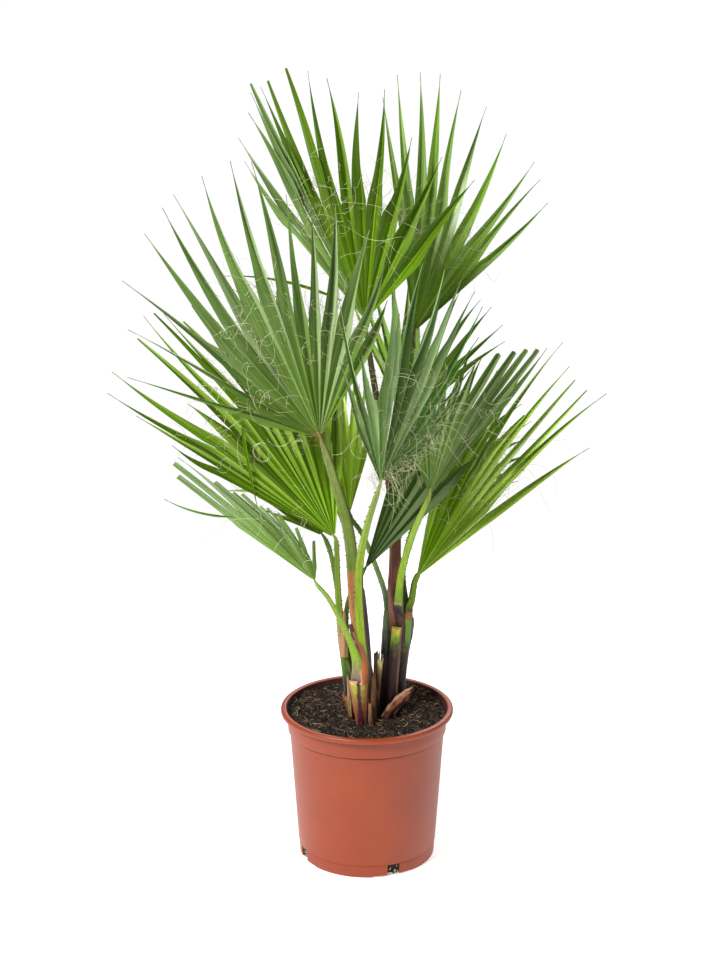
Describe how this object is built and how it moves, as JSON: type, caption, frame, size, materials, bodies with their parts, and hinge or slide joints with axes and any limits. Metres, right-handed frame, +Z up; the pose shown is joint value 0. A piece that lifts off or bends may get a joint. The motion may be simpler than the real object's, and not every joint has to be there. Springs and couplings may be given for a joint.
{
  "type": "potted Mexican fan palm",
  "caption": "Young Mexican fan palm with pleated fan leaves on spiny stalks, rising from two clumps of leaf bases in a round nursery pot filled with soil.",
  "frame": {"origin": "middle of the pot's flat underside, on the floor", "axes": "+Z up, -Y towards the side that the picture shows, +X to that view's right"},
  "size_m": [0.679, 0.6288, 1.1014],
  "materials": {
    "pot_plastic": "injection-moulded terracotta brown polypropylene, satin",
    "soil": "dark moist peat with pale fibres",
    "brown_sheath": "fibrous orange-brown leaf sheath",
    "purple_sheath": "smooth dark purple-brown leaf sheath",
    "dry_sheath": "cut, drying leaf base",
    "petiole": "smooth yellow-green leaf stalk with small teeth",
    "brown_petiole": "brown fibrous leaf stalk",
    "grey_green_leaf": "matt grey-green pleated leaf",
    "bright_leaf": "bright green pleated leaf",
    "mid_green_leaf": "medium green pleated leaf",
    "dark_leaf": "dark green pleated leaf"
  },
  "bodies": {
    "root": {"pot": "pot_plastic", "soil": "soil", "stem_left": "brown_sheath", "stem_right": "purple_sheath", "leaf_base_front": "dry_sheath", "leaf_base_right": "purple_sheath", "leaf_base_middle": "dry_sheath", "fallen_sheath": "dry_sheath", "petiole_upper_left": "petiole", "petiole_lower_left": "petiole", "petiole_low_front": "petiole", "petiole_centre_front": "petiole", "petiole_low_back": "petiole", "petiole_rear_low_left": "petiole", "petiole_rear_left": "petiole", "petiole_right_front": "petiole", "petiole_lower_right": "petiole", "petiole_rear_centre": "petiole", "petiole_top_front": "brown_petiole", "petiole_top_back": "petiole", "petiole_rear_right": "petiole", "petiole_rear_high": "petiole", "blade_upper_left": "grey_green_leaf", "blade_lower_left": "bright_leaf", "blade_low_front": "grey_green_leaf", "blade_centre_front": "grey_green_leaf", "blade_low_back": "dark_leaf", "blade_rear_low_left": "bright_leaf", "blade_rear_left": "dark_leaf", "blade_right_front": "mid_green_leaf", "blade_lower_right": "bright_leaf", "blade_rear_centre": "bright_leaf", "blade_top_front": "bright_leaf", "blade_top_back": "dark_leaf", "blade_rear_right": "dark_leaf", "blade_rear_high": "dark_leaf"}
  },
  "joints": []
}
